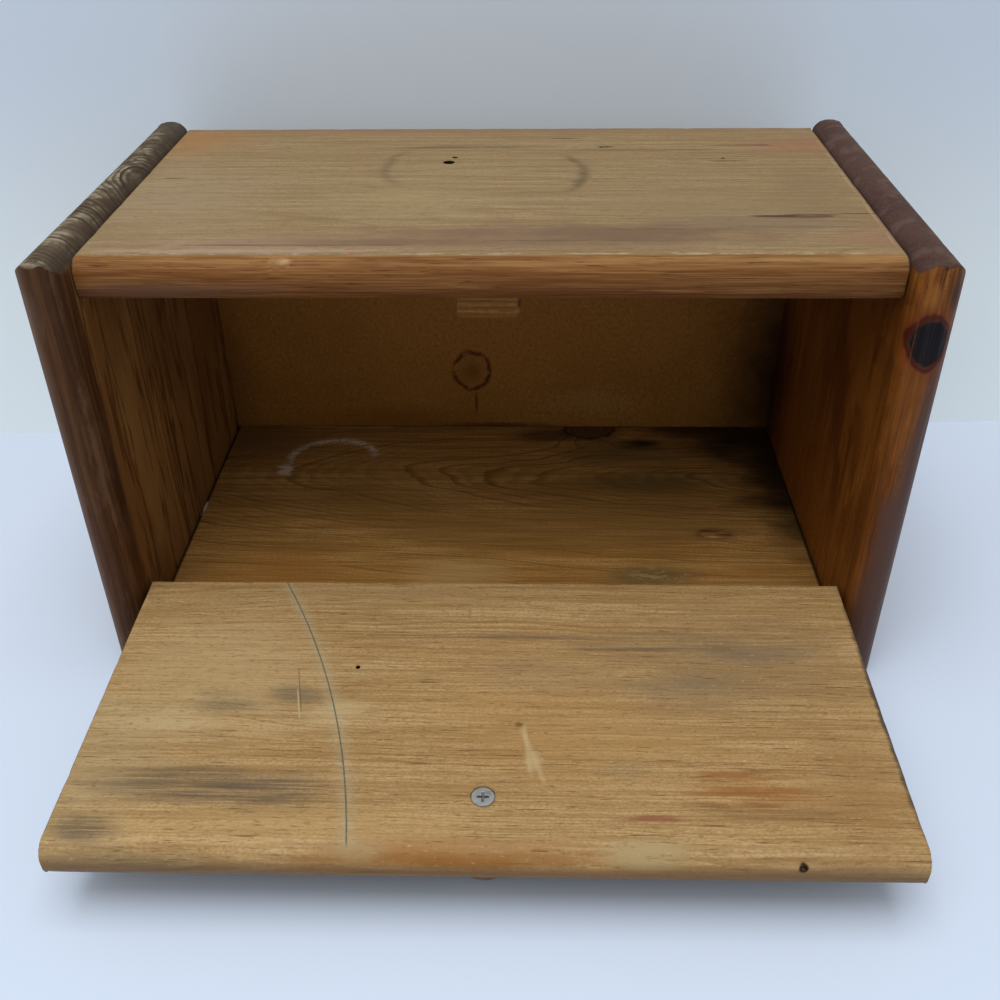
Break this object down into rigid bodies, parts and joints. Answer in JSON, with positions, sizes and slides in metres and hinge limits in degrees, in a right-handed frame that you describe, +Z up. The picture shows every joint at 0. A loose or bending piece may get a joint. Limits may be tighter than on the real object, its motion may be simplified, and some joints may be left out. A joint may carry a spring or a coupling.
{
  "type": "bread box",
  "caption": "Wooden bread box: moulded side boards, inset top, raised floor, hardboard back and a drop-down front flap that turns on pins and stands on its knob when open.",
  "frame": {"origin": "middle of the room the box takes up on a table with its flap down, at table level", "axes": "+X across the box to its right side, +Y to its back, +Z up; the flap opens towards -Y"},
  "size_m": [0.38, 0.3504, 0.219],
  "materials": {
    "side_pine": "old waxed pine, darkened and worn, satin",
    "top_pine": "old pine bleached by use, matt, with ring marks",
    "floor_pine": "waxed pine, satin, scuffed",
    "hardboard": "brown tempered hardboard, smooth in front and meshed behind",
    "stop_pine": "sawn pine, lightly waxed",
    "flap_pine": "waxed pine, satin, worn pale",
    "knob_wood": "turned and waxed, darkened by handling",
    "zinc_screw": "zinc plated, dulled",
    "bright_steel": "plain steel, dull with age"
  },
  "bodies": {
    "case": {"left_side": "side_pine", "right_side": "side_pine", "top_board": "top_pine", "floor_board": "floor_pine", "back_panel": "hardboard", "door_stop": "stop_pine", "left_pivot_pin": "bright_steel", "right_pivot_pin": "bright_steel", "top_board_nails": "bright_steel", "floor_board_nails": "bright_steel", "back_panel_tacks": "bright_steel", "door_stop_brads": "bright_steel"},
    "flap": {"flap_board": "flap_pine", "flap_knob": "knob_wood", "knob_screw": "zinc_screw"}
  },
  "joints": [
    {"name": "flap_hinge", "type": "hinge", "parent": "case", "child": "flap", "pos_m": [0, -0.0262, 0.0365], "axis": [-1, 0, 0], "range_deg": [0, 98.5]}
  ]
}
